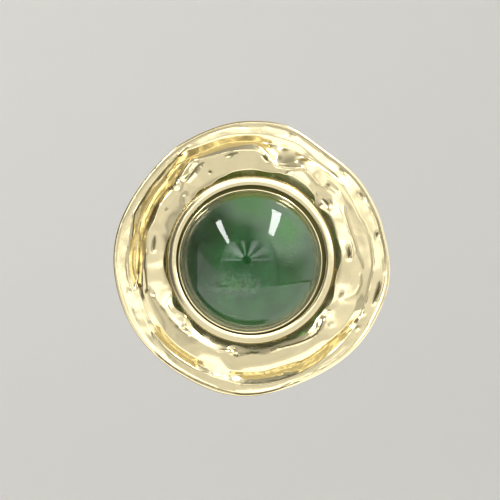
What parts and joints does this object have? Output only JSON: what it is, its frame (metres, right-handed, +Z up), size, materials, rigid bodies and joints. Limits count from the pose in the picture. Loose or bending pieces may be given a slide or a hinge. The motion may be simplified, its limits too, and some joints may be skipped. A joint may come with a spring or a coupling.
{
  "type": "statement earring",
  "caption": "Round stud earring: a hammered gold-tone disc with a wavy rim, a polished bezel cup, a high domed green stone and a straight ear post",
  "frame": {"origin": "where the ear's skin meets the rear face of the post's pad, on the post's axis", "axes": "+Z up as worn, the front faces -Y, the post runs back along +Y, +X to the right as seen from the front; the disc's centre lies 14 mm below the post"},
  "size_m": [0.0555, 0.023, 0.0552],
  "materials": {
    "hammered_gold": "hammered and polished, pale gold plating",
    "polished_gold": "polished, pale gold plating",
    "green_resin": "glossy, dark translucent green",
    "post_metal": "polished"
  },
  "bodies": {
    "root": {"hammered_disc": "hammered_gold", "bezel_cup": "polished_gold", "domed_stone": "green_resin", "ear_post": "post_metal"}
  },
  "joints": []
}
